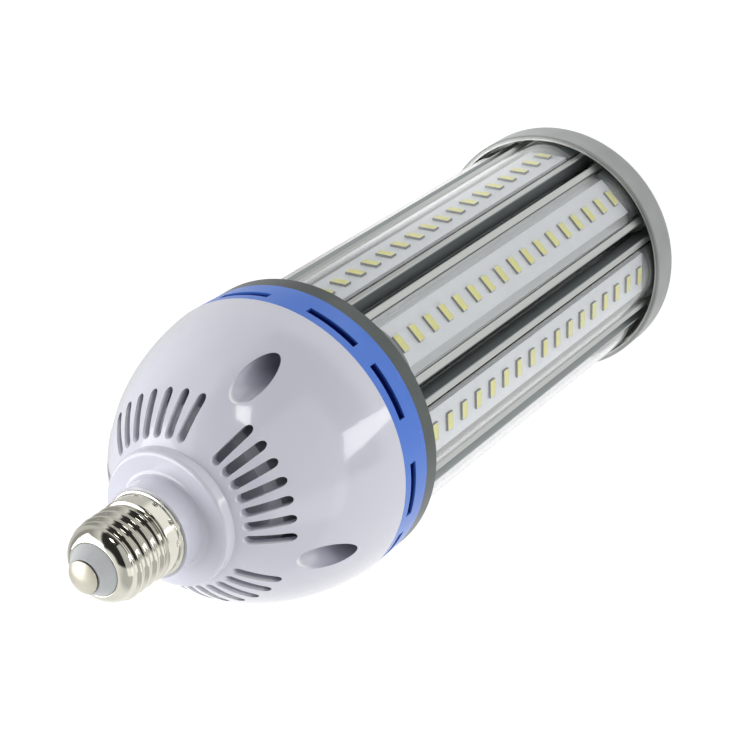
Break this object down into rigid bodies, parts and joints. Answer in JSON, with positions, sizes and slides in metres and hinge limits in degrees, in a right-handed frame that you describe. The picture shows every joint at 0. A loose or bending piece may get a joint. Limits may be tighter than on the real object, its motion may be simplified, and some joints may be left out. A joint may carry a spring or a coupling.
{
  "type": "corn led bulb",
  "caption": "Corn-shaped LED bulb: a ring of LED modules with clear covers, a vented white dome with a blue slotted ring, and a large screw base.",
  "frame": {"origin": "middle of the end cap's flat outer face", "axes": "+Z along the lamp's axis towards the screw base, +X through the middle of the first LED module"},
  "size_m": [0.1006, 0.1006, 0.2983],
  "materials": {
    "cap_metal": "satin grey paint",
    "collar_metal": "satin grey paint",
    "ring_blue": "glossy, slightly see-through blue",
    "dome_white": "glossy cool white",
    "shell_nickel": "bright nickel plate",
    "insulator_grey": "smooth moulded",
    "contact_tin": "dull tinned metal",
    "fan_black": "moulded black",
    "winding_copper": "enamelled copper wire",
    "board_green": "green laminate",
    "cover_grey": "moulded grey",
    "ferrite_dark": "dark ferrite",
    "sleeve_dark": "dark plastic sleeve",
    "screw_steel": "zinc plate",
    "seal_black": "moulded black silicone",
    "sink_aluminium": "clear anodised",
    "cover_clear": "clear, smooth",
    "board_white": "white solder mask",
    "led_yellow": "yellow phosphor in a white package"
  },
  "bodies": {
    "lamp": {"end_cap": "cap_metal", "module_collar": "collar_metal", "vent_ring": "ring_blue", "driver_housing": "dome_white", "screw_shell": "shell_nickel", "base_insulator": "insulator_grey", "centre_contact": "contact_tin", "fan_frame": "fan_black", "fan_stator": "winding_copper", "driver_cover": "cover_grey", "driver_board": "board_green", "transformer": "ferrite_dark", "main_capacitor": "sleeve_dark", "output_capacitor": "sleeve_dark", "input_choke": "winding_copper", "rectifier": "sleeve_dark", "terminal_block": "board_green", "end_cap_screws": "screw_steel", "collar_screws": "screw_steel", "housing_screws": "screw_steel", "fan_screws": "screw_steel", "driver_screws": "screw_steel", "lower_seals": "seal_black", "upper_seals": "seal_black", "heat_sink_1": "sink_aluminium", "clear_cover_1": "cover_clear", "led_board_1": "board_white", "led_row_1": "led_yellow", "heat_sink_2": "sink_aluminium", "clear_cover_2": "cover_clear", "led_board_2": "board_white", "led_row_2": "led_yellow", "heat_sink_3": "sink_aluminium", "clear_cover_3": "cover_clear", "led_board_3": "board_white", "led_row_3": "led_yellow", "heat_sink_4": "sink_aluminium", "clear_cover_4": "cover_clear", "led_board_4": "board_white", "led_row_4": "led_yellow", "heat_sink_5": "sink_aluminium", "clear_cover_5": "cover_clear", "led_board_5": "board_white", "led_row_5": "led_yellow", "heat_sink_6": "sink_aluminium", "clear_cover_6": "cover_clear", "led_board_6": "board_white", "led_row_6": "led_yellow", "heat_sink_7": "sink_aluminium", "clear_cover_7": "cover_clear", "led_board_7": "board_white", "led_row_7": "led_yellow", "heat_sink_8": "sink_aluminium", "clear_cover_8": "cover_clear", "led_board_8": "board_white", "led_row_8": "led_yellow"},
    "rotor": {"fan_rotor": "fan_black"}
  },
  "joints": [
    {"name": "fan_spin", "type": "hinge", "parent": "lamp", "child": "rotor", "pos_m": [0, 0, 0.192], "axis": [0, 0, 1], "continuous": true}
  ]
}
